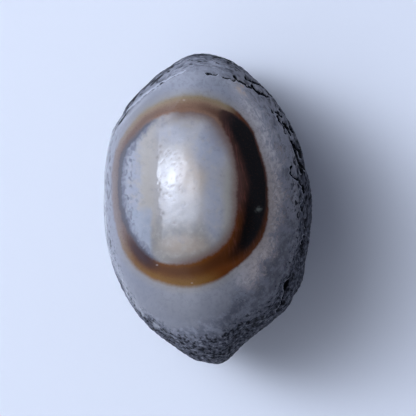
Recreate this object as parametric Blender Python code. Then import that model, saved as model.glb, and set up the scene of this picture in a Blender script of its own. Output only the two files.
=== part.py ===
"""Eye agate: one pebble of banded chalcedony.

Its crown is polished smooth over the eye. Its natural rind, left rough, covers the flanks and the
underside, where a small flat was ground for it to rest on. Sizes are in millimetres, the model is
in metres, +Z is up, and the origin is on the table under the middle of the pebble.
"""

import math

import bmesh
import bpy
from mathutils import Vector, geometry, noise

MM = 0.001

# Driving sizes of the pebble, in millimetres.
LENGTH = 30.0
WIDTH = 20.2
HEIGHT = 16.3

# The outline seen from above: direction in degrees anticlockwise from +X, then the distance
# from the middle. The two ends of the pebble are blunt points, at 92 and 272 degrees.
OUTLINE = (
    (0, 10.1),
    (20, 10.25),
    (40, 11.2),
    (60, 12.55),
    (75, 13.85),
    (86, 14.9),
    (96, 15.15),
    (106, 14.4),
    (120, 13.25),
    (140, 12.1),
    (160, 10.85),
    (180, 10.3),
    (200, 10.7),
    (220, 11.4),
    (240, 12.6),
    (255, 13.5),
    (267, 14.65),
    (275, 14.8),
    (284, 13.45),
    (292, 12.7),
    (305, 12.25),
    (320, 11.5),
    (340, 10.4),
)

# Towards the crown each level is rounder than the outline, nearer to an oval of this half-width
# and half-length, so that no keel runs up from the points.
OVAL = (10.2, 14.6)

# The pebble leans towards its eye, so its widest level, the girdle, rises by this much from the
# middle to the outline in the east, and falls by this much in the north. The crown leans with it.
GIRDLE_HEIGHT = 5.7
GIRDLE_RISE_EAST = 1.3
GIRDLE_RISE_NORTH = -0.7

# Below the girdle the belly is fuller than an ellipse, and the ground flat cuts off its lowest part.
BELLY_FULLNESS = 2.5
GROUND_OFF = 0.55

# Where the polish ends and the rind begins: direction as above, then the share of the way from
# the middle to the outline. The polish fades into the rind over RIND_FADE of that way.
RIND_EDGE = (
    (10, 0.86),
    (43, 0.87),
    (72, 0.87),
    (87, 0.86),
    (98, 0.87),
    (112, 0.89),
    (132, 0.94),
    (150, 0.96),
    (200, 0.96),
    (228, 0.94),
    (245, 0.92),
    (262, 0.89),
    (279, 0.86),
    (296, 0.85),
    (314, 0.84),
    (334, 0.85),
    (353, 0.86),
)
RIND_FADE = 0.10

# Lumps of the whole pebble, then hollows and long furrows that the weather left in the rind:
# height or depth, and spacing.
PEBBLE_LUMP, PEBBLE_LUMP_SPACING = 0.10, 8.0
RIND_HOLLOW, RIND_HOLLOW_SPACING = 0.19, 2.7
RIND_FURROW, RIND_FURROW_LENGTH, RIND_FURROW_SPACING = 0.15, 4.2, 1.7

# Near the ground flat the rind was rubbed smoother, from this height above the table downwards.
RUBBED_HEIGHT = 2.2
RUBBED_RELIEF = 0.15

# Cracks, notches and the ledge where the rind broke away. Each runs from one place to another,
# and a place is a direction and a share of the way to the outline. Then width and depth.
BREAKS = (
    ((9, 0.94), (22, 0.93), 1.1, 0.32),
    ((27, 0.95), (38, 0.93), 1.2, 0.35),
    ((44, 0.95), (52, 0.92), 1.1, 0.32),
    ((57, 0.94), (66, 0.93), 1.2, 0.38),
    ((69, 0.94), (78, 0.92), 1.0, 0.32),
    ((90, 0.92), (112, 0.93), 0.9, 0.22),
    ((112, 0.93), (134, 0.97), 0.9, 0.25),
    ((226, 0.99), (229, 0.99), 0.9, 0.30),
    ((233, 0.99), (236, 0.99), 0.9, 0.30),
    ((281, 0.94), (287, 0.92), 1.1, 0.32),
    ((303, 0.93), (315, 0.88), 1.1, 0.30),
    ((330, 0.93), (341, 0.91), 1.2, 0.24),
    ((350, 0.95), (358, 0.95), 1.1, 0.25),
)

# How many faces the block is cut into across X, Y and Z before it is rounded to a pebble.
FACES_ACROSS = (26, 38, 20)

AGATE_GREY = (0.30, 0.31, 0.33, 1.0)
AGATE_ROUGHNESS = 0.35


def smooth_step(low, high, value):
    """0 below low, 1 above high, and a smooth rise between them."""
    share = min(1.0, max(0.0, (value - low) / (high - low)))
    return share * share * (3.0 - 2.0 * share)


def around(points, direction):
    """The value at this direction on a smooth closed curve through (direction, value) points."""
    turn = direction % 360.0
    start = max((i for i, point in enumerate(points) if point[0] <= turn), default=-1)
    before, here, there, beyond = (points[(start + step) % len(points)] for step in (-1, 0, 1, 2))
    span = (there[0] - here[0]) % 360.0
    slope_here = (there[1] - before[1]) / ((there[0] - before[0]) % 360.0)
    slope_there = (beyond[1] - here[1]) / ((beyond[0] - here[0]) % 360.0)
    t = ((turn - here[0]) % 360.0) / span
    return (
        here[1] * (1 + 2 * t) * (1 - t) ** 2
        + slope_here * span * t * (1 - t) ** 2
        + there[1] * t * t * (3 - 2 * t)
        + slope_there * span * t * t * (t - 1)
    )


def pebble_place(direction, share, up):
    """The place on the smooth pebble: a share of the way to the outline, on the upper or lower side."""
    level = Vector((math.cos(math.radians(direction)), math.sin(math.radians(direction)), 0.0))
    oval = 1.0 / math.hypot(level.x / OVAL[0], level.y / OVAL[1])
    reach = oval + (around(OUTLINE, direction) - oval) * share * share
    girdle = GIRDLE_HEIGHT + share * (GIRDLE_RISE_EAST * level.x + GIRDLE_RISE_NORTH * level.y)
    if up >= 0.0:
        height = girdle + (HEIGHT - GIRDLE_HEIGHT) * up
    else:
        share = share ** (2.0 / BELLY_FULLNESS)
        height = girdle - (girdle + GROUND_OFF) * (-up) ** (2.0 / BELLY_FULLNESS)
    place = level * (share * reach)
    place.z = height
    return place


def crown_place(direction, share):
    """The place on the upper side of the smooth pebble."""
    return pebble_place(direction, share, math.sqrt(1.0 - share * share))


BREAK_LINES = [
    (crown_place(*start), crown_place(*end), width, depth) for start, end, width, depth in BREAKS
]


def break_depth(place):
    """How deep the cracks, the notches and the ledge are at this place."""
    deepest = 0.0
    for start, end, width, depth in BREAK_LINES:
        nearest, along = geometry.intersect_point_line(place, start, end)
        nearest = start if along < 0.0 else end if along > 1.0 else nearest
        fade = 1.0 - smooth_step(0.0, width, (place - nearest).length)
        deepest = max(deepest, depth * fade)
    return deepest


def hills(place, spacing, seed):
    """A smooth random height, about -1 to 1, which rises and falls over this spacing."""
    return noise.noise(place / spacing + Vector((seed, 0.0, 0.0))) * 2.0


def furrow(place, direction):
    """Long shallow furrows which run level round the pebble, from 0 to 1."""
    turn = math.radians(direction)
    ring = 12.0 / RIND_FURROW_LENGTH
    spot = Vector((math.cos(turn) * ring, math.sin(turn) * ring, place.z / RIND_FURROW_SPACING))
    return 1.0 - min(1.0, abs(noise.noise(spot)) * 4.0)


def weathered(ball_point):
    """Moves a point of the unit ball to the pebble, with its lumps and the relief of its rind."""
    across, along, up = ball_point
    direction = math.degrees(math.atan2(along * LENGTH, across * WIDTH))
    share = math.hypot(across, along)
    place = pebble_place(direction, share, up)
    if up > 0.0:
        edge = around(RIND_EDGE, direction)
        rind = smooth_step(0.0, RIND_FADE, share - edge)
    else:
        rind = RUBBED_RELIEF + (1.0 - RUBBED_RELIEF) * smooth_step(0.0, RUBBED_HEIGHT, place.z)
    outward = (place - Vector((0.0, 0.0, GIRDLE_HEIGHT))).normalized()
    relief = PEBBLE_LUMP * hills(place, PEBBLE_LUMP_SPACING, 3.1)
    relief -= rind * RIND_HOLLOW * max(0.0, hills(place, RIND_HOLLOW_SPACING, 8.7))
    relief -= rind * RIND_FURROW * furrow(place, direction)
    relief -= break_depth(place)
    return place + outward * relief


def rounded_block():
    """A cube cut into a grid on each side and blown up into a ball of even, four-sided faces."""
    block = bmesh.new()
    bmesh.ops.create_cube(block, size=2.0)
    for axis, faces in enumerate(FACES_ACROSS):
        lengthwise = [
            edge
            for edge in block.edges
            if abs(edge.verts[0].co[axis] - edge.verts[1].co[axis]) > 1.9
        ]
        bmesh.ops.subdivide_edges(block, edges=lengthwise, cuts=faces - 1, use_grid_fill=True)
    for vertex in block.verts:
        vertex.co = Vector([math.tan(c * math.pi / 4) for c in vertex.co]).normalized()
    return block


def fit_to_size(block):
    """Brings the pebble to its driving sizes, its flat on the table and its middle above the origin."""
    low = Vector([min(vertex.co[axis] for vertex in block.verts) for axis in range(3)])
    high = Vector([max(vertex.co[axis] for vertex in block.verts) for axis in range(3)])
    middle = (low + high) / 2
    bmesh.ops.translate(block, verts=block.verts, vec=(-middle.x, -middle.y, 0.0))
    size = high - low
    stretch = (WIDTH / size.x, LENGTH / size.y, HEIGHT / high.z)
    bmesh.ops.scale(block, verts=block.verts, vec=stretch)
    for vertex in block.verts:
        vertex.co.z = max(0.0, vertex.co.z)
    bmesh.ops.scale(block, verts=block.verts, vec=(MM, MM, MM))


def agate_material():
    material = bpy.data.materials.new("agate")
    material.use_nodes = True
    shader = material.node_tree.nodes["Principled BSDF"]
    shader.inputs["Base Color"].default_value = AGATE_GREY
    shader.inputs["Roughness"].default_value = AGATE_ROUGHNESS
    shader.inputs["Metallic"].default_value = 0.0
    return material


def make_stone():
    block = rounded_block()
    for vertex in block.verts:
        vertex.co = weathered(vertex.co)
    fit_to_size(block)
    bmesh.ops.recalc_face_normals(block, faces=block.faces)
    mesh = bpy.data.meshes.new("stone")
    block.to_mesh(mesh)
    block.free()
    mesh.shade_smooth()
    stone = bpy.data.objects.new("stone", mesh)
    stone.data.materials.append(agate_material())
    bpy.context.scene.collection.objects.link(stone)


for leftover in list(bpy.data.objects):
    bpy.data.objects.remove(leftover)
make_stone()
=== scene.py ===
# %% [markdown]
# # An eye agate
#
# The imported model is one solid: a faceted pebble at its real size, lying on a table with its
# polished side up. This lesson gives it the look of the real stone. A fine skin is laid over the
# solid, the crown is rubbed smooth, the rind is pitted and cracked, and the eye is drawn with
# measured curves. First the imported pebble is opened, and its box is kept, because the finished
# skin has to stay inside it.

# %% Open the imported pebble
import math
import random
from collections import defaultdict

import bmesh
import bpy
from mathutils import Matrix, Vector, geometry, interpolate, noise
from mathutils.bvhtree import BVHTree


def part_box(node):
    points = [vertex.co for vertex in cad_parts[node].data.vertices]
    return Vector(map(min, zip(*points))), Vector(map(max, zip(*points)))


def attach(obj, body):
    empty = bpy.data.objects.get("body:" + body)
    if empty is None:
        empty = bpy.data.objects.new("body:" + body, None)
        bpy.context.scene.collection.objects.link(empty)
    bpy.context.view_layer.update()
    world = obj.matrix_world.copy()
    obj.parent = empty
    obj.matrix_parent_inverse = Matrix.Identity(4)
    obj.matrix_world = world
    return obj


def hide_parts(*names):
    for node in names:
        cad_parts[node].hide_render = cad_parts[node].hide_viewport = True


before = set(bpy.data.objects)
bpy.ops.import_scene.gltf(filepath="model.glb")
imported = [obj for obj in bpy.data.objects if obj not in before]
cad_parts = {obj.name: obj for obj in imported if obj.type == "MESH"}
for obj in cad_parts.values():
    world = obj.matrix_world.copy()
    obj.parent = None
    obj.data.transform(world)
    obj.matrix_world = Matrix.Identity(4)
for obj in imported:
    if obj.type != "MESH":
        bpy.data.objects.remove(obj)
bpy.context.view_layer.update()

MM = 0.001
low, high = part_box("stone")
WIDTH, LENGTH, HEIGHT = (high - low) / MM
print(f"The pebble is {WIDTH:.1f} x {LENGTH:.1f} x {HEIGHT:.1f} mm")

# %% [markdown]
# ## Camera
#
# The stone was photographed from straight above. A long lens far away keeps the sides of the
# pebble from spreading, as a close-up lens on a stand does. The lens is worked out from what the
# picture spans at the pebble's widest level, so that the outline has its true size in the frame.

# %% Look straight down
PICTURE_SPAN = 40.2
GIRDLE_HEIGHT = 5.7
CAMERA_HEIGHT = 300.0
CAMERA_EAST = 0.05
SENSOR = 36.0

camera_data = bpy.data.cameras.new("camera")
camera_data.sensor_width = SENSOR
camera_data.lens = SENSOR * (CAMERA_HEIGHT - GIRDLE_HEIGHT) / PICTURE_SPAN
camera_data.clip_start = 0.01
camera_data.clip_end = 10.0
camera = bpy.data.objects.new("camera", camera_data)
camera.location = (CAMERA_EAST * MM, 0.0, CAMERA_HEIGHT * MM)
bpy.context.scene.collection.objects.link(camera)
bpy.context.scene.camera = camera
print(f"Lens {camera_data.lens:.0f} mm")

# %% [markdown]
# ## Steps of colour and light
#
# The window's sky, the room's walls and the stone's bands are all worked out by nodes: small
# steps of arithmetic and mixing, each wired to the next. There are hundreds of them, so they
# aren't placed by hand. A few helpers make them, and each finds the tree that its step belongs
# in by itself, because every socket knows its own tree.

# %% Node helpers
def wired(sockets, values):
    """Links each value that is a socket, and sets each that is a number or a colour."""
    for socket, value in zip(sockets, values):
        if isinstance(value, bpy.types.NodeSocket):
            value.id_data.links.new(value, socket)
        else:
            socket.default_value = value


def maths(operation, *values):
    """A step of arithmetic. One value or more is the output of an earlier step."""
    tree = next(value.id_data for value in values if isinstance(value, bpy.types.NodeSocket))
    step = tree.nodes.new("ShaderNodeMath")
    step.operation = operation
    wired(step.inputs, values)
    return step.outputs["Value"]


def times(first, *others):
    """The product of the values."""
    for other in others:
        first = maths("MULTIPLY", first, other)
    return first


def rest_of(share):
    """What a share leaves: 1 where it is 0, and 0 where it is 1."""
    return maths("SUBTRACT", 1.0, share)


def between(value, start, end):
    """0 where the value is at start, 1 where it is at end, and a smooth change between."""
    step = value.id_data.nodes.new("ShaderNodeMapRange")
    step.interpolation_type = "SMOOTHSTEP"
    wired(step.inputs, (value, start, end, 0.0, 1.0))
    return step.outputs["Result"]


def blended(share, first, second):
    """The first value where share is 0, the second where it is 1."""
    mixer = share.id_data.nodes.new("ShaderNodeMix")
    wired((mixer.inputs[0], mixer.inputs[2], mixer.inputs[3]), (share, first, second))
    return mixer.outputs[0]


def stacked(colour, *layers):
    """The colour, with each layer laid over the ones before.

    A layer is its colour, then the shares and numbers whose product says how far it covers.
    """
    for over, *shares in layers:
        share = times(*shares)
        mixer = share.id_data.nodes.new("ShaderNodeMix")
        mixer.data_type = "RGBA"
        wired((mixer.inputs[0], mixer.inputs[6], mixer.inputs[7]), (share, colour, over))
        colour = mixer.outputs[2]
    return colour


def parts_of(vector):
    """The X, Y and Z of a vector."""
    splitter = vector.id_data.nodes.new("ShaderNodeSeparateXYZ")
    wired(splitter.inputs, (vector,))
    return splitter.outputs


# %% [markdown]
# ## Table and window
#
# The stone lies on plain white paper beside a slanting window, and the polished dome shows the
# window as a highlight. So the window is not a point but a wide sheet of light. Its lower edge
# is the crisp left edge of the highlight, and the same sheet casts the long soft shadow. The
# table looks pale in the picture, so the colours are shown without a film curve.

# %% Paper
bpy.context.scene.view_settings.view_transform = "Standard"

PAPER_SIZE = 3.0
PAPER_WHITE = (0.89, 0.90, 0.92, 1.0)
PAPER_ROUGHNESS, PAPER_GLOSS = 0.9, 0.1

paper_mesh = bmesh.new()
bmesh.ops.create_grid(paper_mesh, x_segments=1, y_segments=1, size=PAPER_SIZE / 2)
paper = bpy.data.objects.new("paper", bpy.data.meshes.new("paper"))
paper_mesh.to_mesh(paper.data)
paper_mesh.free()
bpy.context.scene.collection.objects.link(paper)

paper_finish = bpy.data.materials.new("paper")
paper_finish.use_nodes = True
paper_shader = paper_finish.node_tree.nodes["Principled BSDF"]
paper_shader.inputs["Base Color"].default_value = PAPER_WHITE
paper_shader.inputs["Roughness"].default_value = PAPER_ROUGHNESS
paper_shader.inputs["Specular IOR Level"].default_value = PAPER_GLOSS
paper.data.materials.append(paper_finish)
print(f"The paper is {PAPER_SIZE:.0f} m wide")

# %% Window
DAYLIGHT = (0.74, 0.82, 1.0)
WINDOW_DISTANCE = 1.2
WINDOW_ELEVATION = 45.0

# Its edges, as shares of its distance, measured along the slanting sheet from the middle.
WINDOW_SOUTH, WINDOW_NORTH = -0.23, 1.40
WINDOW_FOOT, WINDOW_HEAD = -0.90, 0.72

sheet = bpy.data.lights.new("window", "AREA")
sheet.shape = "RECTANGLE"
sheet.size = WINDOW_DISTANCE * (WINDOW_NORTH - WINDOW_SOUTH)
sheet.size_y = WINDOW_DISTANCE * (WINDOW_HEAD - WINDOW_FOOT)
sheet.color = DAYLIGHT
sheet.energy = sheet.size * sheet.size_y
sheet.use_nodes = True

lean = math.radians(WINDOW_ELEVATION)
outward = Vector((-math.cos(lean), 0.0, math.sin(lean)))
upward = Vector((math.sin(lean), 0.0, math.cos(lean)))
window = bpy.data.objects.new("window", sheet)
window.location = WINDOW_DISTANCE * (
    outward
    + upward * (WINDOW_FOOT + WINDOW_HEAD) / 2
    + Vector((0.0, 1.0, 0.0)) * (WINDOW_SOUTH + WINDOW_NORTH) / 2
)
window.rotation_euler = (-outward).to_track_quat("-Z", "Y").to_euler()
bpy.context.scene.collection.objects.link(window)
print(f"The window is {sheet.size:.2f} x {sheet.size_y:.2f} m")

# %% [markdown]
# ## The sky in the window
#
# An even lamp would leave an even bright patch on the dome. The real highlight shows more. Roofs
# hide the lowest sky, the window's north side stands aslant and is bent, and a thin blind hangs
# over its head. The sky is dim in the north, fades out in the south, and is brightest where the
# sun is behind thin cloud. A picture of a sky could say all that, but numbers are easier to
# change. So the light's strength is worked out from the place on the sheet, which nodes of a
# light call Parametric.

# %% Sky
# All places are from 0 to 1 across the sheet, southwards from its north edge and upwards from
# its foot. The line of the roofs is highest at this place and falls off to both sides.
ROOF_PLACE, ROOF_TOP, ROOF_FALL, EDGE_SOFTNESS = 0.84, 0.272, 1.084, 0.008

# How far in from the sheet's north edge the window's side stands at the foot, and how it leans
# and bends outwards on its way up.
SIDE_INSET, SIDE_LEAN, SIDE_BEND = 0.281, 0.047, 0.216

# Above its fade the sky is hidden by the top of the window.
SKY_BRIGHTNESS = 10.4
FADE_START, FADE_END = 0.74, 1.0
NORTH_SKY, NORTH_REACH = 0.13, 0.62
SOUTH_START, SOUTH_END = 0.74, 1.06
GLOW_BRIGHTNESS = 48.0
GLOW_PLACE = (0.680, 0.435)
GLOW_SPREAD = (0.096, 0.120)
BLIND_FOOT, BLIND_SLANT, BLIND_SOFTNESS, BLIND_SHADE = 0.90, 0.23, 0.02, 0.62

sheet_nodes = sheet.node_tree.nodes
on_sheet = parts_of(sheet_nodes.new("ShaderNodeNewGeometry").outputs["Parametric"])
southwards, upwards = on_sheet["X"], on_sheet["Y"]


def squared_away(value, place, spread):
    """The square of how many spreads the value is away from this place."""
    away = maths("DIVIDE", maths("SUBTRACT", value, place), spread)
    return times(away, away)


glow_away = maths("ADD", squared_away(southwards, GLOW_PLACE[0], GLOW_SPREAD[0]),
                  squared_away(upwards, GLOW_PLACE[1], GLOW_SPREAD[1]))
glow = maths("POWER", math.exp(-0.5), glow_away)
roof_line = maths("MULTIPLY_ADD", squared_away(southwards, ROOF_PLACE, 1.0), -ROOF_FALL, ROOF_TOP)
over_roofs = between(maths("SUBTRACT", upwards, roof_line), 0.0, EDGE_SOFTNESS)
side_bend = maths("MULTIPLY_ADD", upwards, -SIDE_BEND, -SIDE_LEAN)
side_line = maths("MULTIPLY_ADD", upwards, side_bend, SIDE_INSET)
past_side = between(maths("SUBTRACT", southwards, side_line), 0.0, EDGE_SOFTNESS)
blind_foot = maths("MULTIPLY_ADD", southwards, -BLIND_SLANT, BLIND_FOOT)
blind = between(maths("SUBTRACT", upwards, blind_foot), 0.0, BLIND_SOFTNESS)
under_blind = maths("MULTIPLY_ADD", blind, -BLIND_SHADE, 1.0)
north_share = between(southwards, 0.0, NORTH_REACH)
sky = times(
    between(upwards, FADE_END, FADE_START), SKY_BRIGHTNESS, under_blind,
    maths("MULTIPLY_ADD", north_share, 1.0 - NORTH_SKY, NORTH_SKY),
    between(southwards, SOUTH_END, SOUTH_START),
)
open_sky = maths("MULTIPLY_ADD", glow, GLOW_BRIGHTNESS, sky)
brightness = times(open_sky, over_roofs, past_side)
wired([sheet_nodes["Emission"].inputs["Strength"]], [brightness])
print(f"The sky takes {len(sheet_nodes)} nodes")

# %% [markdown]
# ## The room
#
# The rest of the room lights the shadow and is mirrored faintly in the dome. Walls could be
# built, but they would stand in the way of other views. A world whose colour goes by direction
# does as well. It is dim and a little blue, and darker overhead. Under the window a low wall is
# lit, and a pale wall in the south-west softens the shadow. The camera sees a plain backdrop.

# %% Room
ROOM_LIGHT = (0.178, 0.200, 0.272, 1.0)
OVERHEAD = (0.060, 0.066, 0.088, 1.0)
LIT_WALL = (0.62, 0.68, 0.80, 1.0)
PALE_WALL = (0.98, 1.06, 1.24, 1.0)
PALE_BACKDROP = (0.68, 0.76, 0.95, 1.0)

# Where each share is 0, then where it is 1: across to the east, to the north, and upwards.
OVERHEAD_UP = (0.70, 0.90)
LIT_WALL_EAST, LIT_WALL_UP = (-0.10, -0.45), (0.20, 0.0)
PALE_WALL_EAST, PALE_WALL_NORTH = (-0.20, -0.52), (-0.02, -0.34)
PALE_WALL_FOOT, PALE_WALL_TOP = (0.02, 0.16), (0.82, 0.62)

room = bpy.data.worlds.new("room")
room.use_nodes = True
bpy.context.scene.world = room
room_nodes = room.node_tree.nodes
heading = parts_of(room_nodes.new("ShaderNodeTexCoord").outputs["Generated"])
heading_east, heading_north, heading_up = heading["X"], heading["Y"], heading["Z"]
room_colour = stacked(
    ROOM_LIGHT,
    (OVERHEAD, between(heading_up, *OVERHEAD_UP)),
    (LIT_WALL, between(heading_up, *LIT_WALL_UP), between(heading_east, *LIT_WALL_EAST)),
    (PALE_WALL, between(heading_east, *PALE_WALL_EAST), between(heading_north, *PALE_WALL_NORTH),
     between(heading_up, *PALE_WALL_FOOT), between(heading_up, *PALE_WALL_TOP)),
)
lit_room = room_nodes["Background"]
backdrop = room_nodes.new("ShaderNodeBackground")
wired((lit_room.inputs["Color"], backdrop.inputs["Color"]), (room_colour, PALE_BACKDROP))
seen_by_camera = room_nodes.new("ShaderNodeLightPath").outputs["Is Camera Ray"]
seen_or_lit = room_nodes.new("ShaderNodeMixShader")
wired(seen_or_lit.inputs, (seen_by_camera, lit_room.outputs[0], backdrop.outputs[0]))
wired([room_nodes["World Output"].inputs["Surface"]], [seen_or_lit.outputs[0]])
print(f"The room takes {len(room_nodes)} nodes")

# %% [markdown]
# ## A fine skin over the solid
#
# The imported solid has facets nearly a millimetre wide, and the cracks of the rind are a quarter
# of that. Dividing the facets would keep their corners. So a fresh skin is made instead: a cube
# is cut into a fine grid, blown up into a ball, and each of its points is drawn in towards the
# heart of the pebble until it meets the solid. That gives even, four-sided faces everywhere,
# with no pole at which they crowd together. Where a point meets a facet it is drawn a little
# outwards, onto the round surface that the facet's corners lie on.

# %% Ball of even faces
NET_CELLS = (120, 176, 90)
CUBE_SIDE = 2.0


def ball_net(cells):
    """A cube cut into a grid on each side and blown up into a ball of even, four-sided faces."""
    net = bmesh.new()
    bmesh.ops.create_cube(net, size=CUBE_SIDE)
    for axis, count in enumerate(cells):
        lengthwise = [
            edge
            for edge in net.edges
            if abs(edge.verts[0].co[axis] - edge.verts[1].co[axis]) > 0.95 * CUBE_SIDE
        ]
        bmesh.ops.subdivide_edges(net, edges=lengthwise, cuts=count - 1, use_grid_fill=True)
    for vertex in net.verts:
        vertex.co = Vector([math.tan(c * math.pi / 4) for c in vertex.co]).normalized()
    return net


skin = ball_net(NET_CELLS)
print(f"The net has {len(skin.faces)} faces")

# %% Draw the net onto the solid
HEART = Vector((2.0, 0.0, 6.5))
ROUNDING = 0.75
SAME_PLACE = 0.001

solid = bmesh.new()
solid.from_mesh(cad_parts["stone"].data)
bmesh.ops.remove_doubles(solid, verts=solid.verts, dist=SAME_PLACE * MM)
bmesh.ops.scale(solid, verts=solid.verts, vec=(1.0 / MM, 1.0 / MM, 1.0 / MM))
solid.normal_update()
solid.faces.ensure_lookup_table()
solid_tree = BVHTree.FromBMesh(solid)


def met_by(line):
    """The place where a line from the heart meets the solid, with the solid's facets rounded."""
    met, _, facet, _ = solid_tree.ray_cast(HEART, line)
    corners = solid.faces[facet].verts
    weights = interpolate.poly_3d_calc([corner.co for corner in corners], met)
    rounded = Vector()
    for corner, weight in zip(corners, weights):
        rounded += weight * (met - corner.normal * (met - corner.co).dot(corner.normal))
    return met.lerp(rounded, ROUNDING)


for vertex in skin.verts:
    line = Vector([c * size for c, size in zip(vertex.co, (WIDTH, LENGTH, HEIGHT))])
    vertex.co = met_by(line.normalized())
    vertex.co.z = max(0.0, vertex.co.z)
solid.free()
mean_area = sum(face.calc_area() for face in skin.faces) / len(skin.faces)
print(f"Faces are about {math.sqrt(mean_area):.2f} mm wide")

# %% [markdown]
# ## Where everything lies
#
# The features of the stone were measured in a picture taken from above, so each point of the
# skin is first carried along its line of sight to the pebble's widest level, where a millimetre
# in the picture is a true millimetre. The rind is measured inwards from the outline, by
# direction. Smooth closed curves through a few points hold such measures, and later the same
# kind of curve draws the eye.

# %% Smooth closed curves
def smooth_step(start, end, value):
    """0 before start, 1 after end, and a smooth rise between them."""
    share = min(1.0, max(0.0, (value - start) / (end - start)))
    return share * share * (3.0 - 2.0 * share)


def around(points, direction):
    """The value at this direction on a smooth closed curve through (direction, value) points."""
    turn = direction % 360.0
    start = max((i for i, point in enumerate(points) if point[0] <= turn), default=-1)
    before, here, there, beyond = (points[(start + step) % len(points)] for step in (-1, 0, 1, 2))
    span = (there[0] - here[0]) % 360.0
    slope_here = (there[1] - before[1]) / ((there[0] - before[0]) % 360.0)
    slope_there = (beyond[1] - here[1]) / ((beyond[0] - here[0]) % 360.0)
    t = ((turn - here[0]) % 360.0) / span
    return (
        here[1] * (1 + 2 * t) * (1 - t) ** 2
        + slope_here * span * t * (1 - t) ** 2
        + there[1] * t * t * (3 - 2 * t)
        + slope_there * span * t * t * (t - 1)
    )


def hills(place, spacing, seed):
    """A smooth random height, about -1 to 1, which rises and falls over this spacing."""
    return noise.noise(place / spacing + Vector((seed, 0.0, 0.0))) * 2.0


def ripples(place, waves):
    """The sum of some waves. Each is a height, a spacing and a seed."""
    return sum(height * hills(place, spacing, seed) for height, spacing, seed in waves)


def direction_of(place):
    """The direction in degrees, anticlockwise from the east."""
    return math.degrees(math.atan2(place.y, place.x)) % 360.0


# %% The outline, and how far inside it a place is seen
SECTORS = 120
GIRDLE_RISE = 1.2
GIRDLE_SOFTNESS = 0.8


def seen(place):
    """The place carried along its line of sight to the level where the picture's scale is true."""
    share = (CAMERA_HEIGHT - GIRDLE_HEIGHT) / (CAMERA_HEIGHT - place.z)
    return Vector((place.x * share, place.y * share))


widest = [0.0] * SECTORS
for vertex in skin.verts:
    flat = seen(vertex.co)
    sector = int(direction_of(flat) / 360.0 * SECTORS) % SECTORS
    widest[sector] = max(widest[sector], flat.length)


def outline(direction):
    """The distance from the middle to the outline in this direction."""
    at = direction / 360.0 * SECTORS - 0.5
    before = math.floor(at)
    share = at - before
    return widest[before % SECTORS] * (1.0 - share) + widest[(before + 1) % SECTORS] * share


def above_girdle(place):
    """-1 under the pebble's widest level, 1 over it, and a smooth change between."""
    girdle = GIRDLE_HEIGHT + GIRDLE_RISE * seen(place).normalized().x
    return 2.0 * smooth_step(-GIRDLE_SOFTNESS, GIRDLE_SOFTNESS, place.z - girdle) - 1.0


def inset_of(place):
    """How far inside the outline this place is seen, in millimetres. It is negative underneath."""
    flat = seen(place)
    return (outline(direction_of(flat)) - flat.length) * above_girdle(place)


print(f"The outline reaches from {min(widest):.1f} to {max(widest):.1f} mm")

# %% [markdown]
# ## Polishing the crown
#
# A lapidary rubs a dome over ever finer grit until no flat is left. Here each pass moves every
# point of the crown halfway to the middle of its neighbours, and after enough passes the facets
# of the solid are gone. The rind gets only a few passes, so it keeps the solid's lumps. The
# border between the two is held as the rind's width for each direction: broad at the lower end
# and on the right flank, and nothing on the left, where the polish reaches the outline.

# %% Rub the crown smooth
# Direction in degrees, then the width of the rind in millimetres, as seen from above.
RIND_WIDTH = (
    (0, 0.95), (12, 1.0), (22, 1.5), (36, 1.0), (50, 1.05), (60, 0.95), (68, 1.2), (76, 1.5),
    (85, 1.85), (92, 1.8), (101, 1.35), (111, 1.0), (121, 0.62), (132, 0.25), (145, -0.1),
    (200, -0.1), (215, 0.15), (240, 0.35), (252, 0.6), (262, 1.4), (273, 2.2), (287, 2.0),
    (300, 1.6), (315, 1.8), (330, 1.2), (345, 1.0),
)
CROWN_INSET = 0.1
CROWN_PASSES = 30
RIND_PASSES = 3


def on_crown(place):
    """Whether this place is inside the border of the rind, and a little away from it."""
    return inset_of(place) > around(RIND_WIDTH, direction_of(place)) + CROWN_INSET


crown = [vertex for vertex in skin.verts if on_crown(vertex.co)]
for points, passes in ((skin.verts, RIND_PASSES), (crown, CROWN_PASSES)):
    for _ in range(passes):
        bmesh.ops.smooth_vert(
            skin, verts=points, factor=0.5, use_axis_x=True, use_axis_y=True, use_axis_z=True
        )
print(f"{len(crown)} points of the crown are polished")
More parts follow.
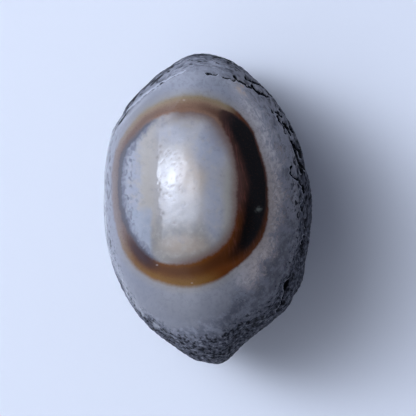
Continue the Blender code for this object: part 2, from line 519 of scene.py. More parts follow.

# %% [markdown]
# ## Relief of the polish and of the rind
#
# Even a good polish on a hard dome is a little wavy, and that makes the edge of the window's
# highlight wavy too. The rind is the reverse: pits between grains, furrows that run along the
# flank, and black clefts between flakes that stand off it. All of it is real depth in the mesh,
# moved along the surface's own outward direction, and how deep each point lies is kept, because
# the material darkens the hollows, partly as dirt and partly as painted shade, and needs to know
# where.

# %% Clefts of the rind
# Each runs from one place to another. A place is a direction in degrees and a distance inside
# the outline. Then the cleft's width. All distances are in millimetres, as seen from above.
CLEFTS = (
    ((10.3, 0.76), (12.3, 0.78), 0.33), ((12.2, 0.86), (15.8, 0.90), 0.30),
    ((17.5, 1.06), (20.0, 1.36), 0.15), ((20.0, 1.36), (22.2, 1.52), 0.19),
    ((22.2, 1.52), (25.8, 1.44), 0.20), ((22.3, 0.15), (24.2, 0.30), 0.25),
    ((24.2, 0.32), (26.2, 0.62), 0.33), ((21.0, 0.54), (24.4, 0.60), 0.16),
    ((26.0, 0.66), (28.4, 0.70), 0.30), ((28.4, 0.69), (33.0, 0.75), 0.16),
    ((29.0, 0.30), (31.2, 0.26), 0.30), ((31.2, 0.30), (33.5, 0.44), 0.22),
    ((34.0, 0.50), (36.0, 0.60), 0.22), ((34.0, 0.76), (36.2, 0.70), 0.16),
    ((36.0, 0.60), (38.6, 0.78), 0.21), ((41.5, 0.58), (44.5, 0.53), 0.15),
    ((42.0, 0.24), (44.3, 0.25), 0.15), ((44.5, 0.53), (48.2, 0.62), 0.19),
    ((44.0, 0.96), (46.2, 0.88), 0.15), ((46.0, 0.82), (50.4, 0.94), 0.18),
    ((51.2, 0.86), (52.3, 0.84), 0.19), ((51.4, 0.50), (54.0, 0.67), 0.21),
    ((50.5, 0.12), (53.6, 0.27), 0.15), ((55.4, 0.96), (56.2, 0.99), 0.20),
    ((60.2, 0.11), (62.6, 0.20), 0.22), ((62.0, 0.48), (63.8, 0.56), 0.19),
    ((64.2, 0.74), (66.2, 0.88), 0.16), ((65.0, 0.10), (68.6, 0.32), 0.19),
    ((67.0, 0.90), (69.9, 0.84), 0.24), ((68.6, 0.34), (73.4, 0.68), 0.21),
    ((69.8, 1.05), (72.2, 1.22), 0.16), ((72.0, 1.25), (74.2, 1.28), 0.19),
    ((74.2, 1.34), (76.2, 1.49), 0.24), ((76.2, 1.49), (78.3, 1.34), 0.20),
    ((78.0, 1.73), (79.6, 1.73), 0.14), ((80.8, 1.78), (83.2, 1.90), 0.15),
    ((80.5, 0.05), (83.2, 0.12), 0.15), ((86.2, 1.81), (90.2, 1.94), 0.15),
    ((304.0, 0.45), (308.0, 0.70), 0.10), ((308.0, 0.70), (315.0, 1.25), 0.13),
    ((314.6, 1.28), (317.4, 1.30), 0.34), ((340.0, 0.70), (343.5, 0.62), 0.12),
    ((349.0, 0.52), (353.0, 0.60), 0.14), ((359.0, 1.02), (361.5, 1.05), 0.14),
    ((110.0, 1.06), (100.0, 1.35), 0.06), ((120.0, 0.68), (110.0, 1.06), 0.08),
    ((130.0, 0.39), (120.0, 0.68), 0.08), ((143.0, 0.10), (130.0, 0.39), 0.08),
)
CLEFT_REACH = 3.0
FAR_FROM_CLEFT = 1.0

# The lips are ragged: how far they waver, and over what length.
RAGGED_LIP, RAGGED_LIP_SPACING = 0.10, 0.35

# On the steep flank a cleft may be this much longer up and down than it is wide from above.
STEEP_STRETCH = 2.2
crown_tree = BVHTree.FromBMesh(skin)
LENS = Vector((0.0, 0.0, CAMERA_HEIGHT))

# Without a seed of its own this noise would start from the clock, and differ from run to run.
noise.seed_set(1)


def squeezed(flat, height):
    """A place with its height squeezed, so that a cleft is not drawn out down the flank."""
    return Vector((flat.x, flat.y, height / STEEP_STRETCH))


def spot_at(direction, inset):
    """The squeezed place on the skin seen at this direction and this far inside the outline."""
    turn = math.radians(direction)
    flat = Vector((math.cos(turn), math.sin(turn))) * (outline(direction % 360.0) - inset)
    sight = Vector((flat.x, flat.y, GIRDLE_HEIGHT)) - LENS
    met = crown_tree.ray_cast(LENS, sight)[0]
    return squeezed(flat, met.z if met else GIRDLE_HEIGHT + GIRDLE_SOFTNESS)


CLEFT_LINES = [(spot_at(*start), spot_at(*end), width / 2) for start, end, width in CLEFTS]


def cleft_at(place):
    """How a place lies to the nearest cleft, in millimetres.

    First how far inside its lips the place is, negative outside it, then how far to the left of
    its middle line, then how wide it is from that line to a lip.
    """
    flat = seen(place) + RAGGED_LIP * noise.noise_vector(place / RAGGED_LIP_SPACING).xy
    here = squeezed(flat, place.z)
    found = (-FAR_FROM_CLEFT, FAR_FROM_CLEFT, 0.0)
    for start, end, half in CLEFT_LINES:
        if (here - start).length > CLEFT_REACH:
            continue
        point, along = geometry.intersect_point_line(here, start, end)
        nearest = start if along < 0.0 else end if along > 1.0 else point
        inside = half - (here - nearest).length
        if inside > found[0]:
            course = (end - start).xy.normalized()
            found = (inside, course.cross((here - start).xy), half)
    return found


print(f"{len(CLEFT_LINES)} clefts are laid out")

# %% Furrows and pits
# The furrows run round the flank and lean outwards, like the clefts, and most of all in this
# direction. A place there is carried this far along, so that a level pattern leans.
FURROW_DEPTH, FURROW_LENGTH, FURROW_HEIGHT = 0.16, 1.7, 0.6
LEAN, LEAN_DIRECTION = 1.9, 40.0
FURROW_WIDTH = 0.16
FURROW_BEND, FURROW_BEND_SPACING = 0.35, 0.8
FURROW_PATCHES = (1.5, 7.7)
MEAN_RADIUS = 12.0


def round_flank(direction, radius):
    """East and north on a level ring round the pebble, on which a pattern runs along the flank."""
    turn = math.radians(direction)
    return math.cos(turn) * radius, math.sin(turn) * radius


def leaning(height, direction):
    """The height of a level pattern at this direction, so that it leans where the rind does."""
    return height - LEAN * math.sin(math.radians(direction - LEAN_DIRECTION))


def furrow_at(place, direction):
    """1 along the bottom of a furrow, 0 away from it."""
    rise = leaning(place.z, direction) / FURROW_HEIGHT
    bent = Vector((*round_flank(direction, MEAN_RADIUS / FURROW_LENGTH), rise))
    bent += FURROW_BEND * noise.noise_vector(place / FURROW_BEND_SPACING)
    wall = 1.0 - abs(noise.noise(bent)) / FURROW_WIDTH
    return max(0.0, wall) * smooth_step(-0.1, 0.5, hills(place, *FURROW_PATCHES))


# %% How far inwards the rind shows
# Direction in degrees, then how far the grey mottles reach inwards from the outline, and how far
# the dark part of them does, in millimetres. The dark part is partly weathering and partly
# painted shade, widest where the flank turns away from the window.
MOTTLE_WIDTH = (
    (0, 3.4), (15, 3.3), (30, 3.1), (45, 3.1), (60, 2.8), (75, 2.5), (90, 2.1), (110, 1.2),
    (130, 0.6), (145, 0.15), (200, 0.2), (220, 0.7), (240, 1.1), (255, 2.3), (265, 3.8), (275, 4.9),
    (285, 5.3), (300, 4.4), (315, 4.6), (330, 4.0), (345, 3.5),
)
DARK_WIDTH = (
    (0, 1.5), (20, 1.2), (35, 0.60), (50, 0.25), (70, 0.25), (80, 0.45), (92, 0.65), (112, 0.35),
    (135, 0.22), (200, 0.22), (230, 0.32), (250, 0.85), (262, 1.6), (272, 2.5), (285, 2.3),
    (300, 1.3), (315, 2.0), (330, 1.5), (345, 1.2),
)

# %% Dimples
# The polish left small dimples in the eye. As seen from above: middle, then half-width.
DIMPLES = (
    ((-4.59, 5.99), 0.17), ((-4.55, 5.43), 0.16), ((-4.88, 4.92), 0.12), ((-4.10, 3.10), 0.14),
    ((-3.95, 2.38), 0.16), ((-3.45, 2.05), 0.18), ((-2.86, 2.92), 0.20), ((-3.20, 4.30), 0.12),
    ((-3.55, 1.10), 0.14), ((-4.35, -0.55), 0.13), ((-3.20, -1.45), 0.18), ((-1.30, 1.85), 0.14),
    ((-2.20, 0.35), 0.13), ((-4.60, 1.75), 0.13),
)

# And a scatter of finer ones around the highest place of the eye.
FINE_DIMPLES, FINE_DIMPLE_SIZE, FINE_SEED = 44, (0.09, 0.12), 12
FINE_MIDDLE, FINE_REACH = Vector((-3.55, 2.6)), Vector((1.25, 3.3))
scatter = random.Random(FINE_SEED)
all_dimples = [(Vector(middle), half) for middle, half in DIMPLES]
for _ in range(FINE_DIMPLES):
    turn, share = scatter.uniform(0.0, math.tau), math.sqrt(scatter.random())
    away = Vector((math.cos(turn), math.sin(turn))) * share
    all_dimples.append((FINE_MIDDLE + away * FINE_REACH, scatter.uniform(*FINE_DIMPLE_SIZE)))


def dimple_at(place):
    """1 at the bottom of a dimple, 0 outside it, for a place on the crown."""
    flat = seen(place)
    return max(1.0 - smooth_step(0.3, 1.3, (flat - middle).length / half)
               for middle, half in all_dimples)


print(f"{len(all_dimples)} dimples are laid out")

# %% Move the skin
# Waves are a height, a spacing and a seed.
POLISH_WAVES = ((0.020, 1.7, 1.7), (0.0045, 0.50, 3.9))
BORDER_WAVES = ((0.16, 1.3, 4.4), (0.10, 0.5, 9.1))
PIT_DEPTH, PIT_SPACING, PIT_SEED = 0.07, 0.42, 6.2
RIND_BORDER = 0.35
DIMPLE_DEPTH = 0.017
CLEFT_DEPTH = 0.26

# Up to this height over the table the rind is worn flat.
WORN_HEIGHT = 0.8

# A pattern along the flank goes by how far inside the outline a place is, and so little changes
# up and down a steep wall that it would be drawn out there. So it also goes by a share of height.
FLANK_CLIMB = 0.25

skin.normal_update()
keeps = defaultdict(list)
for vertex in skin.verts:
    place, outward = vertex.co.copy(), vertex.normal.copy()
    direction = direction_of(place)
    inset = inset_of(place)
    rind_edge = around(RIND_WIDTH, direction) - inset + ripples(place, BORDER_WAVES)
    rind = smooth_step(-RIND_BORDER / 2, RIND_BORDER / 2, rind_edge)
    off_table = smooth_step(0.0, WORN_HEIGHT, place.z)
    over = smooth_step(-0.2, 0.8, above_girdle(place))
    cleft, cleft_side, cleft_half = cleft_at(place)
    furrow = rind * furrow_at(place, direction) * off_table
    dimple = dimple_at(place) if over > 0.0 else 0.0
    pit = rind * off_table * (0.5 + 0.5 * hills(place, PIT_SPACING, PIT_SEED))
    relief = (1.0 - rind) * ripples(place, POLISH_WAVES)
    relief -= DIMPLE_DEPTH * dimple + PIT_DEPTH * pit + FURROW_DEPTH * furrow
    relief -= over * CLEFT_DEPTH * smooth_step(-0.10, 0.08, cleft)
    vertex.co = place + outward * relief
    vertex.co.z = max(0.0, vertex.co.z)
    climb = FLANK_CLIMB * (place.z - GIRDLE_HEIGHT)
    found = {
        "rind": rind,
        "cleft": cleft,
        "cleft_side": cleft_side,
        "cleft_half": cleft_half,
        "furrow": furrow,
        "dimple": dimple,
        "mottled": around(MOTTLE_WIDTH, direction) - inset,
        "darkened": around(DARK_WIDTH, direction) - inset,
        "inset": inset,
        "flank": (*round_flank(direction, MEAN_RADIUS), climb - leaning(-inset, direction)),
        "plan": (*seen(place), 0.0),
    }
    for name, value in found.items():
        keeps[name].append(value)
print(f"Deepest cleft {max(keeps['cleft']):.2f}")

# %% [markdown]
# ## Drawing the eye
#
# An eye agate is a stack of bands round one point, cut across: a milky pupil, a dark ring, then
# grey chalcedony. The bands are only colour, so nothing is raised. They are drawn as the picture
# shows them, as closed curves round the eye's own middle: distances from it in a few directions,
# read off the stone. What the mesh keeps is smooth and plain: how far each point lies outside
# the pupil's edge, how far outside the ring's edge, and how dark the ring is there. The material
# turns that into colour, and adds the small irregularities.

# %% Curves of the eye
EYE_MIDDLE = Vector((-1.69, 1.55))

# Direction from the eye's middle in degrees, then distance in millimetres.
PUPIL_EDGE = (
    (0, 4.55), (30, 5.15), (45, 5.85), (60, 6.75), (75, 7.60), (90, 7.80), (105, 7.85), (120, 7.85),
    (135, 7.60), (150, 7.50), (165, 7.05), (180, 6.85), (195, 6.85), (210, 7.00), (225, 7.20),
    (240, 7.42), (255, 7.22), (270, 6.92), (285, 6.52), (300, 6.20), (315, 5.74), (330, 5.14),
    (345, 4.76),
)
RING_EDGE = (
    (0, 7.57), (30, 7.86), (45, 8.55), (60, 9.05), (75, 9.32), (90, 9.40), (105, 9.25), (120, 9.00),
    (135, 8.60), (150, 8.25), (165, 7.82), (180, 7.55), (195, 7.68), (210, 8.05), (225, 8.72),
    (240, 9.10), (255, 9.20), (270, 9.22), (285, 9.00), (300, 8.60), (315, 8.42), (330, 8.25),
    (345, 7.87),
)

# Where the black band starts and ends, how softly it ends, and how black it is.
BLACK_START = (
    (0, 5.50), (30, 5.80), (45, 6.30), (60, 7.00), (75, 7.80), (90, 8.20), (240, 7.60), (270, 7.20),
    (285, 7.05), (300, 6.70), (315, 6.20), (330, 5.75), (345, 5.40),
)
BLACK_END = (
    (0, 7.45), (30, 7.70), (45, 8.38), (60, 8.64), (75, 8.70), (90, 8.70), (240, 7.90), (270, 7.80),
    (285, 7.90), (300, 8.35), (315, 8.40), (330, 8.20), (345, 7.76),
)
BLACK_FADE = (
    (0, 0.35), (30, 0.28), (75, 0.28), (285, 1.0), (315, 1.1), (330, 1.0), (345, 0.6),
)
BLACKNESS = (
    (0, 1.0), (45, 1.0), (54, 0.95), (62, 0.62), (70, 0.25), (78, 0.0), (150, 0.0), (240, 0.0),
    (262, 0.0), (276, 0.08), (288, 0.25), (300, 0.50), (310, 0.72), (320, 0.93), (332, 1.0),
)

# How far the ring is amber, rosy or stained in this direction, from 0 to 1.
AMBER = (
    (0, 0.5), (45, 0.3), (75, 0.1), (105, 0.15), (135, 0.2), (170, 0.0), (205, 0.1), (222, 0.7),
    (238, 1.0), (300, 1.0),
)
ROSY = (
    (0, 0.0), (110, 0.0), (135, 0.45), (155, 0.9), (170, 1.0), (200, 1.0), (213, 0.7), (228, 0.1),
    (240, 0.0), (300, 0.0),
)
STAIN = (
    (0, 0.3), (60, 0.8), (75, 0.7), (90, 0.15), (100, 0.20), (115, 0.50), (140, 0.75), (155, 0.9),
    (170, 0.8), (180, 0.9), (195, 0.7), (210, 0.9), (223, 1.0), (236, 1.0), (250, 0.6), (270, 0.65),
    (285, 0.9), (300, 1.0),
)

# %% Keep the measures on the skin
FAR_FROM_EYE = {"outside_pupil": 9.0, "outside_ring": 9.0, "black": 0.0, "black_side": 0.0,
                "amber": 0.0, "rosy": 0.0, "stain": 0.0}


def eye_fields(flat):
    """How this place lies to the eye, and what the ring is like in its direction."""
    from_middle = flat - EYE_MIDDLE
    direction = direction_of(from_middle)
    distance = from_middle.length
    rise = smooth_step(-0.90, 0.95, distance - around(BLACK_START, direction))
    before_end = around(BLACK_END, direction) - distance
    fall = smooth_step(-0.15, around(BLACK_FADE, direction), before_end)
    return {
        "outside_pupil": distance - around(PUPIL_EDGE, direction),
        "outside_ring": distance - around(RING_EDGE, direction),
        "black": rise * fall * around(BLACKNESS, direction),
        "black_side": around(BLACKNESS, direction),
        "amber": around(AMBER, direction),
        "rosy": around(ROSY, direction),
        "stain": around(STAIN, direction),
    }


for plan, inset in zip(keeps["plan"], keeps["inset"]):
    found = eye_fields(Vector(plan[:2])) if inset > 0.0 else FAR_FROM_EYE
    for name, value in found.items():
        keeps[name].append(value)

bmesh.ops.scale(skin, verts=skin.verts, vec=(MM, MM, MM))
bmesh.ops.recalc_face_normals(skin, faces=skin.faces)
pebble_mesh = bpy.data.meshes.new("pebble")
skin.to_mesh(pebble_mesh)
skin.free()
pebble_mesh.shade_smooth()
for name, values in keeps.items():
    if name in ("flank", "plan"):
        measure = pebble_mesh.attributes.new(name, "FLOAT_VECTOR", "POINT")
        measure.data.foreach_set("vector", [part for value in values for part in value])
    else:
        measure = pebble_mesh.attributes.new(name, "FLOAT", "POINT")
        measure.data.foreach_set("value", values)
pebble = bpy.data.objects.new("pebble", pebble_mesh)
bpy.context.scene.collection.objects.link(pebble)
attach(pebble, "root")
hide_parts("stone")
print(f"The skin has {len(pebble_mesh.polygons)} faces")

# %% [markdown]
# ## The agate's colours
#
# Chalcedony is quartz in fibres too fine to see. It is a little cloudy, so light enters it and
# comes out close by. Iron stains some of its bands: tan or amber where there is little of it,
# and near black where there is much. The nodes build the colour in layers, as the stone lies:
# grey chalcedony first, then the ring, then the pupil, then the rind over everything. Each layer
# is a colour and the shares that say where it shows, and random clouds make the borders ragged.

# %% Patterns
agate = bpy.data.materials.new("agate")
agate.use_nodes = True
tree = agate.node_tree
shader = tree.nodes["Principled BSDF"]


def kept(name, output="Fac"):
    """A measure that the skin keeps at each point."""
    reader = tree.nodes.new("ShaderNodeAttribute")
    reader.attribute_name = name
    return reader.outputs[output]


def placed(place, size, middle=(0.0, 0.0, 0.0), turn=0.0):
    """The place as a pattern of this size, middle and turn in degrees sees it."""
    mapping = tree.nodes.new("ShaderNodeMapping")
    mapping.vector_type = "TEXTURE"
    wired(mapping.inputs, (place, middle, (0.0, 0.0, math.radians(turn)), size))
    return mapping.outputs["Vector"]


def cloud(place, size, detail=3.0, roughness=0.5, turn=0.0, warp=0.0):
    """A soft random pattern, 0 to 1. Its patches have this size in millimetres, or these three."""
    size = size if isinstance(size, tuple) else (size, size, size)
    pattern = tree.nodes.new("ShaderNodeTexNoise")
    names = ("Vector", "Scale", "Detail", "Roughness", "Distortion")
    values = (placed(place, size, turn=turn), 1.0, detail, roughness, warp)
    wired([pattern.inputs[name] for name in names], values)
    return pattern.outputs["Fac"]


def wavering(value, pattern, amount):
    """The value moved up and down by up to about half this amount, as the pattern goes."""
    return maths("ADD", value, times(maths("SUBTRACT", pattern, 0.5), amount))


plan_place = kept("plan", "Vector")
flank_place = kept("flank", "Vector")
solid_place = placed(tree.nodes.new("ShaderNodeTexCoord").outputs["Object"], (MM, MM, MM))


def spot(middle, radii, soft=1.0, turn=0.0):
    """1 inside an oval spot seen from above, 0 outside it, with a soft border."""
    ball = tree.nodes.new("ShaderNodeTexGradient")
    ball.gradient_type = "SPHERICAL"
    wired(ball.inputs, [placed(plan_place, (*radii, 1.0), (*middle, 0.0), turn)])
    return between(ball.outputs["Fac"], 0.0, soft)


# %% Chalcedony
GREY_TOP = (0.238, 0.243, 0.272, 1.0)
GREY_LOW = (0.250, 0.246, 0.258, 1.0)
GREY_LEFT = (0.188, 0.190, 0.222, 1.0)
GREY_SHADE = (0.140, 0.143, 0.165, 1.0)
WARM_BAND = (0.47, 0.395, 0.360, 1.0)
MILKY = (0.45, 0.415, 0.415, 1.0)
STREAK_PALE = (0.62, 0.575, 0.560, 1.0)
STREAK_GREY = (0.26, 0.26, 0.285, 1.0)
RUSTY_BEIGE = (0.46, 0.345, 0.270, 1.0)

east, north, _ = parts_of(plan_place)
mottled = kept("mottled")
soft_patches = cloud(plan_place, 2.2)
fine_patches = cloud(plan_place, 0.7, 4.0)
specks = cloud(plan_place, 0.24, 3.0, 0.6)
blotches = cloud(plan_place, 1.3, 5.0, 0.65, warp=0.5)
veins = cloud(plan_place, 0.45, 4.0, 0.7, warp=0.4)
right_side = between(wavering(east, soft_patches, 2.5), 1.5, 5.0)
low_half = between(wavering(north, soft_patches, 3.0), -4.0, -8.5)
rusty = between(fine_patches, 0.35, 0.60)

# Oblique pale and grey streaks lie between the ring and the rind, where the flank is steep.
streaks = cloud(flank_place, (0.80, 0.80, 0.36), 4.0, 0.6, warp=0.8)
streak_zone = times(right_side, between(mottled, -1.4, 0.2))

chalcedony = stacked(
    GREY_TOP,
    (GREY_LOW, between(wavering(north, soft_patches, 3.0), 3.0, -6.0)),
    (GREY_LEFT, between(wavering(east, soft_patches, 3.0), -2.5, -6.5)),
    (MILKY, right_side),
    (WARM_BAND, between(wavering(east, soft_patches, 2.0), 2.5, 5.5),
     between(wavering(north, soft_patches, 4.0), 6.0, 1.0)),
    (GREY_LOW, between(wavering(north, soft_patches, 2.0), -6.5, -10.0)),
    # The south end and two patches by the left outline are darker, partly the stone's own grey and
    # partly painted shade.
    (GREY_SHADE, between(wavering(north, soft_patches, 2.0), -6.5, -11.0), 0.68),
    (GREY_SHADE, spot((-7.4, -9.0), (3.8, 5.0), 0.7), 0.55),
    (GREY_SHADE, spot((-6.6, 11.0), (3.8, 3.8), 0.7), 0.62),
    (GREY_SHADE, between(blotches, 0.52, 0.68), low_half, 0.40),
    (GREY_SHADE, between(veins, 0.48, 0.62), 0.36),
    (STREAK_PALE, between(streaks, 0.54, 0.61), streak_zone, 0.55),
    (STREAK_GREY, between(streaks, 0.47, 0.40), streak_zone, 0.85),
    (RUSTY_BEIGE, spot((3.2, 11.8), (0.75, 1.6), 0.8, 35.0), rusty),
    (RUSTY_BEIGE, spot((7.0, 5.5), (0.55, 1.3), 0.8, 25.0), rusty),
)
print(f"With the chalcedony there are {len(tree.nodes)} nodes")

# %% Ring
TAN_INNER = (0.190, 0.107, 0.068, 1.0)
TAN_OUTER = (0.220, 0.150, 0.092, 1.0)
OLIVE_RIM = (0.205, 0.155, 0.088, 1.0)
AMBER_INNER = (0.115, 0.038, 0.004, 1.0)
AMBER_OUTER = (0.168, 0.080, 0.017, 1.0)
DARK_AMBER = (0.100, 0.026, 0.003, 1.0)
DARK_BROWN = (0.056, 0.014, 0.001, 1.0)
YELLOWED_GREY = (0.235, 0.205, 0.165, 1.0)
ROSY_INNER = (0.114, 0.081, 0.075, 1.0)
ROSY_OUTER = (0.158, 0.117, 0.103, 1.0)
STAIN_BROWN = (0.050, 0.014, 0.004, 1.0)
LINE_BLUE = (0.045, 0.043, 0.056, 1.0)
INNER_RED = (0.060, 0.027, 0.021, 1.0)
RED_BROWN = (0.034, 0.013, 0.008, 1.0)
PLUM = (0.034, 0.016, 0.018, 1.0)
STREAK_RED = (0.120, 0.040, 0.030, 1.0)
RED_RIM = (0.080, 0.024, 0.006, 1.0)
BLACK = (0.0015, 0.001, 0.001, 1.0)

# The ring's edge is sharpest where it is black or rosy. Half-width of its blur, soft then sharp.
SOFT_EDGE, SHARP_EDGE = 0.28, 0.14

past_pupil = wavering(wavering(kept("outside_pupil"), fine_patches, 0.35), specks, 0.25)
past_ring = wavering(wavering(kept("outside_ring"), fine_patches, 0.25), specks, 0.12)
amber, rosy, stain = kept("amber"), kept("rosy"), kept("stain")
black, black_side = kept("black"), kept("black_side")

# From 0 at the pupil's edge to 1 at the ring's outer edge.
across_ring = maths("DIVIDE", past_pupil, maths("SUBTRACT", past_pupil, past_ring))
outwards = between(across_ring, 0.15, 0.85)
in_south = between(north, 1.0, -2.0)
stain_band = times(between(across_ring, 0.0, 0.25), between(across_ring, 0.75, 0.35))
line_band = times(between(across_ring, -0.20, 0.0), between(across_ring, 0.30, 0.08))
black_mottled = wavering(black, fine_patches, 0.25)
band_streaks = cloud(plan_place, (0.20, 1.60, 1.00), 3.0, 0.6, 8.0, warp=0.2)
ring_specks = cloud(plan_place, 0.17, 2.0, 0.6)
dark_corner = spot((-6.5, -4.6), (2.8, 1.9), 0.8, -52.0)

amber_ring = stacked(AMBER_INNER, (AMBER_OUTER, between(across_ring, 0.35, 0.95)))
rosy_ring = stacked(ROSY_INNER, (ROSY_OUTER, outwards))
dark_ring = stacked(INNER_RED, (RED_RIM, outwards))
brown = stacked(RED_BROWN, (DARK_BROWN, in_south))
ring = stacked(
    TAN_INNER,
    (TAN_OUTER, outwards),
    (amber_ring, amber),
    (OLIVE_RIM, between(across_ring, 0.60, 1.0), rest_of(amber)),
    (rosy_ring, rosy),
    (dark_ring, between(black_side, 0.35, 0.85)),
    (DARK_AMBER, between(black_side, 0.04, 0.36), in_south),
    (STAIN_BROWN, stain_band, stain, rest_of(rosy), 0.8),
    (LINE_BLUE, line_band, rosy, stain),
    (brown, between(black_mottled, 0.06, 0.40)),
    (STREAK_RED, between(band_streaks, 0.50, 0.62), between(black_side, 0.30, 0.80), 0.40),
    (BLACK, between(black_mottled, 0.30, 0.90)),
    # The lower left of the ring is darker, partly stain and partly painted shade where the ring
    # mirrors less light.
    (STAIN_BROWN, dark_corner, 0.35),
    (PLUM, dark_corner, between(across_ring, 0.75, 0.20)),
    (STAIN_BROWN, between(ring_specks, 0.53, 0.70), 0.26),
)
sharpness = between(maths("MAXIMUM", black_side, rosy), 0.0, 0.6)
edge_width = blended(sharpness, SOFT_EDGE, SHARP_EDGE)
in_ring = between(past_ring, edge_width, times(edge_width, -1.0))
colour = stacked(
    chalcedony,
    (YELLOWED_GREY, between(past_ring, 1.0, 0.0), rest_of(rosy), 0.45),
    (ring, in_ring),
)
print(f"With the ring there are {len(tree.nodes)} nodes")

# %% Pupil
PUPIL_GREY = (0.298, 0.276, 0.262, 1.0)
PUPIL_BEIGE = (0.322, 0.290, 0.250, 1.0)
PUPIL_WARM = (0.320, 0.250, 0.186, 1.0)
PUPIL_BRIGHT = (0.372, 0.348, 0.325, 1.0)
PUPIL_LOW = (0.198, 0.182, 0.163, 1.0)
PUPIL_BLUE = (0.262, 0.268, 0.300, 1.0)
PUPIL_SKY = (0.248, 0.268, 0.310, 1.0)
PUPIL_DULL = (0.278, 0.254, 0.238, 1.0)
PUPIL_OLIVE = (0.265, 0.250, 0.215, 1.0)
PUPIL_SHADE = (0.120, 0.122, 0.150, 1.0)
PUPIL_RUST_AND_PIT_SHADE = (0.130, 0.080, 0.062, 1.0)

cloudiness = cloud(plan_place, 1.0, 6.0, 0.7)
shade_specks = cloud(plan_place, (0.36, 0.60, 0.5), 1.5, 0.5, warp=0.6)
upper_edge = between(wavering(wavering(north, fine_patches, 1.0), specks, 0.5), 7.7, 8.6)
crescent = between(wavering(wavering(east, fine_patches, 2.4), specks, 0.8), -6.4, -7.9)
on_left = between(wavering(east, fine_patches, 1.0), -4.2, -6.0)

pupil = stacked(
    PUPIL_GREY,
    (PUPIL_BLUE, between(wavering(east, fine_patches, 1.2), -4.2, -6.3)),
    (PUPIL_BEIGE, between(wavering(east, fine_patches, 1.8), -7.2, -6.1),
     between(wavering(east, fine_patches, 1.6), -4.4, -5.4), 0.9),
    # This paler spot lies where the window's highlight falls: partly the pupil's own colour and
    # partly a painted highlight.
    (PUPIL_BRIGHT, spot((-3.4, 3.6), (3.0, 4.0), 0.8), 0.8),
    (PUPIL_LOW, between(wavering(north, soft_patches, 2.0), 0.8, -3.5)),
    # This blue spot at the top of the highlight is partly the pupil's blue and partly a painted
    # reflection of the sky.
    (PUPIL_BLUE, spot((-3.3, 7.2), (2.6, 1.5), 0.7), 0.6),
    (PUPIL_DULL, upper_edge, 0.6),
    (PUPIL_WARM, spot((-1.6, 3.4), (2.3, 3.8), 0.8), 0.9),
    (PUPIL_BLUE, spot((0.3, 5.8), (2.6, 3.2), 0.7)),
    (PUPIL_BLUE, spot((0.6, 0.0), (1.4, 5.0), 0.7), 0.8),
    (PUPIL_WARM, spot((-2.2, -3.6), (3.6, 1.6), 0.8), 0.7),
    (PUPIL_BEIGE, between(fine_patches, 0.45, 0.75), 0.5),
    # This bluish patch low on the left is partly the pupil's own blue and partly a painted
    # reflection of a lower pane.
    (PUPIL_SKY, between(wavering(east, fine_patches, 0.5), -5.2, -5.7),
     between(wavering(north, fine_patches, 1.0), 0.6, -0.8), 0.8),
    (PUPIL_SHADE, between(cloudiness, 0.50, 0.72), 0.35),
    (PUPIL_BRIGHT, between(cloudiness, 0.48, 0.30), 0.35),
    (PUPIL_SHADE, crescent, between(shade_specks, 0.50, 0.66)),
    (PUPIL_SHADE, between(wavering(past_pupil, shade_specks, 0.9), -0.95, -0.20), on_left),
    (LINE_BLUE, between(wavering(past_pupil, shade_specks, 0.3), -0.40, -0.12), on_left, 0.8),
    (PUPIL_OLIVE, spot((2.2, 1.2), (1.1, 5.2), 0.8), 0.8),
    (PUPIL_RUST_AND_PIT_SHADE, between(past_pupil, -1.2, 0.15), between(east, -5.0, -2.0)),
    (PUPIL_RUST_AND_PIT_SHADE, spot((1.9, 6.9), (2.0, 3.8), 0.9, 38.0), 0.6),
    # The dimples' bottoms are darker: painted shade in the pits.
    (PUPIL_RUST_AND_PIT_SHADE, kept("dimple"), 0.45),
)
in_pupil = between(past_pupil, 0.16, -0.20)
print(f"With the pupil there are {len(tree.nodes)} nodes")

# %% Chips in the polish
# The pale and grey spots are partly painted glints, where chips catch the light. Each spot has
# its middle and half-widths, as seen from above.
CHIP_PALE = (0.62, 0.56, 0.52, 1.0)
CHIP_GREY = (0.090, 0.095, 0.080, 1.0)

colour = stacked(
    colour,
    (pupil, in_pupil),
    (CHIP_PALE, spot((-2.27, 10.43), (0.20, 0.12)), 0.25),
    (CHIP_PALE, spot((-4.88, -5.51), (0.18, 0.12)), 0.25),
    (CHIP_PALE, spot((-1.50, -7.25), (0.18, 0.10)), 0.25),
    (CHIP_GREY, spot((4.95, -0.12), (0.55, 0.42), 1.0, 30.0), between(specks, 0.35, 0.55)),
)
print(f"With the chips there are {len(tree.nodes)} nodes")

# %% [markdown]
# ## The rind's colours
#
# Weather has frosted the rind and let dirt in. It is mottled with pale grey where it is only
# frosted, dark near the outline, partly dirt and partly painted shade of the flank turned from
# the window, and black in the clefts, partly dirt and partly painted shade. One noise pattern
# would look like paint, so several are used: long flakes on the upper end and the right flank,
# crumbled clumps at the lower end, and fine grains over both.

# %% Mottles and dark grains
LIP_HIGHLIGHT = (0.36, 0.37, 0.41, 1.0)
RIND_LIGHT = (0.260, 0.265, 0.295, 1.0)
RIND_MIDDLE = (0.150, 0.155, 0.182, 1.0)
RIND_GREY = (0.085, 0.088, 0.108, 1.0)
RIND_DARK = (0.022, 0.023, 0.030, 1.0)
CLEFT_BLACK = (0.003, 0.003, 0.004, 1.0)

inset, darkened = kept("inset"), kept("darkened")
flakes = cloud(flank_place, (0.90, 0.90, 0.42), 5.0, 0.65, warp=0.5)
clumps = cloud(solid_place, 0.85, 5.0, 0.68)
strokes = cloud(flank_place, (0.90, 0.90, 0.30), 2.5, 0.5, warp=0.7)
crumbs = cloud(solid_place, 0.38, 3.0, 0.6)
coarse_grains = cloud(solid_place, 1.9, 4.0, 0.6)
fine_grains = cloud(solid_place, 0.22, 4.0, 0.6)
crumbled = between(wavering(north, soft_patches, 3.0), 1.5, -3.5)
grains = blended(crumbled, flakes, clumps)
flecks = blended(crumbled, strokes, crumbs)

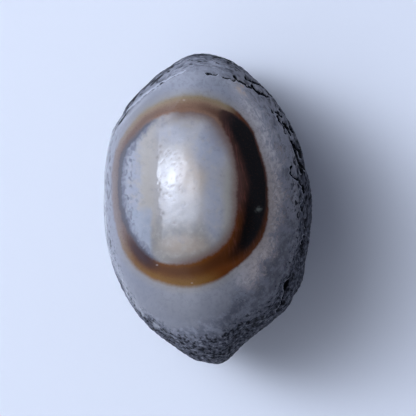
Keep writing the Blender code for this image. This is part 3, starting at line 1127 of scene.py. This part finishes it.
ragged_mottle = wavering(wavering(mottled, coarse_grains, 2.8), grains, 3.0)
mottle_share = between(ragged_mottle, 0.0, 1.1)
ragged_dark = wavering(wavering(darkened, coarse_grains, 1.6), grains, 1.6)
light_start = blended(crumbled, 0.36, 0.42)
light_grains = between(maths("SUBTRACT", grains, light_start), 0.0, 0.18)
rind_colour = stacked(RIND_GREY, (RIND_LIGHT, light_grains))
dark_colour = stacked(RIND_GREY, (RIND_DARK, between(flecks, 0.46, 0.56)))

# Below the widest level less of the rind is dark, and it is worn in patches.
below = between(wavering(inset, coarse_grains, 0.8), 0.0, -0.6)
near_outline = between(darkened, -0.9, 0.0)
# A thin dark line along the outline is painted shade at the edge.
ragged_inset = wavering(inset, fine_grains, 0.12)
outline_shade_line = times(between(ragged_inset, 0.12, 0.02), between(ragged_inset, -0.08, 0.0))

colour = stacked(
    colour,
    (rind_colour, mottle_share, 0.80),
    (RIND_MIDDLE, crumbled, mottle_share, 0.38),
    # The dark zone near the outline is partly dirt and partly painted shade.
    (dark_colour, between(ragged_dark, -0.20, 0.30), blended(below, 0.95, 0.50)),
    (rind_colour, between(coarse_grains, 0.48, 0.66), below, 0.6),
    (RIND_LIGHT, between(flecks, 0.41, 0.35), near_outline, 0.75),
    (CLEFT_BLACK, between(flecks, 0.56, 0.61), near_outline, 0.95),
    (RIND_DARK, between(fine_grains, 0.62, 0.70), mottle_share, 0.6),
    # The furrows' bottoms are darker, partly dirt and partly painted shade in the hollows.
    (RIND_DARK, kept("furrow"), 0.8),
    # The line along the outline is painted shade.
    (RIND_DARK, outline_shade_line, 0.55),
)
print(f"With the rind there are {len(tree.nodes)} nodes")

# %% Black clefts, with a painted highlight on one lip
# A cleft is black between its lips, partly dirt and partly painted shade, and one lip is paler,
# a painted highlight where it catches the light.
cleft = kept("cleft")
from_middle_line = wavering(kept("cleft_side"), fine_grains, 0.14)
inside_lips = maths("SUBTRACT", kept("cleft_half"), maths("ABSOLUTE", from_middle_line))
lit_lip = times(between(inside_lips, -0.16, -0.05), between(from_middle_line, 0.0, 0.05))
in_gap = between(inside_lips, -0.03, 0.02)

colour = stacked(
    colour,
    (LIP_HIGHLIGHT, lit_lip, between(cleft, -0.24, -0.12), 0.80),
    # The black gap in each cleft is partly dirt and partly painted shade.
    (CLEFT_BLACK, in_gap, between(cleft, -0.14, -0.06)),
)
wired([shader.inputs["Base Color"]], [colour])
print(f"With the clefts there are {len(tree.nodes)} nodes")

# %% [markdown]
# ## Polish
#
# Polished agate is cloudy inside and mirror-bright on top. One glossy layer can't be both, so
# the stone itself stays soft and a clear coat over it mirrors the window. The iron-stained ring
# and the flank towards the rind take a duller polish, so their coat is weaker, and the rind has
# none. Ripples and grain too fine for the mesh are only a bump.

# %% Roughness and coat
POLISH_ROUGHNESS, RIND_ROUGHNESS = 0.35, 0.75
RING_DULLNESS, EAST_DULLNESS = 0.62, 0.55
FINISH = {
    "Coat Roughness": 0.045,
    "Coat IOR": 1.50,
    "IOR": 1.54,
    "Specular IOR Level": 0.08,
    "Subsurface Weight": 0.15,
    "Subsurface Radius": (0.6, 0.5, 0.45),
    "Subsurface Scale": 1.0 * MM,
}

rough_side = maths("MAXIMUM", between(ragged_mottle, 0.2, 1.2), kept("rind"))
rough_share = times(rough_side, between(fine_grains, 0.20, 0.45))
polish = wavering(POLISH_ROUGHNESS, fine_grains, 0.10)
dull_ring = times(in_ring, maths("MAXIMUM", amber, black_side), RING_DULLNESS,
                  between(in_pupil, 0.6, 0.0))
dull_east = times(between(east, 1.5, 5.0), EAST_DULLNESS)
gloss = rest_of(maths("MAXIMUM", dull_ring, dull_east))
wired([shader.inputs["Roughness"]], [blended(rough_share, polish, RIND_ROUGHNESS)])
wired([shader.inputs["Coat Weight"]], [blended(rough_share, gloss, 0.0)])
for name, value in FINISH.items():
    shader.inputs[name].default_value = value

# %% Ripples and fine grain
PEEL_HEIGHT = 0.018
GRAIN_HEIGHT = 0.030

peel = cloud(solid_place, 0.45, 3.0, 0.6)
relief_height = maths("ADD", times(peel, PEEL_HEIGHT * MM),
                      times(fine_grains, rough_share, GRAIN_HEIGHT * MM))
grain = tree.nodes.new("ShaderNodeBump")
bump_inputs = [grain.inputs[name] for name in ("Strength", "Distance", "Height")]
wired(bump_inputs, (1.0, 1.0, relief_height))
wired([shader.inputs["Normal"]], [grain.outputs["Normal"]])
pebble.data.materials.append(agate)
print(f"The agate takes {len(tree.nodes)} nodes")
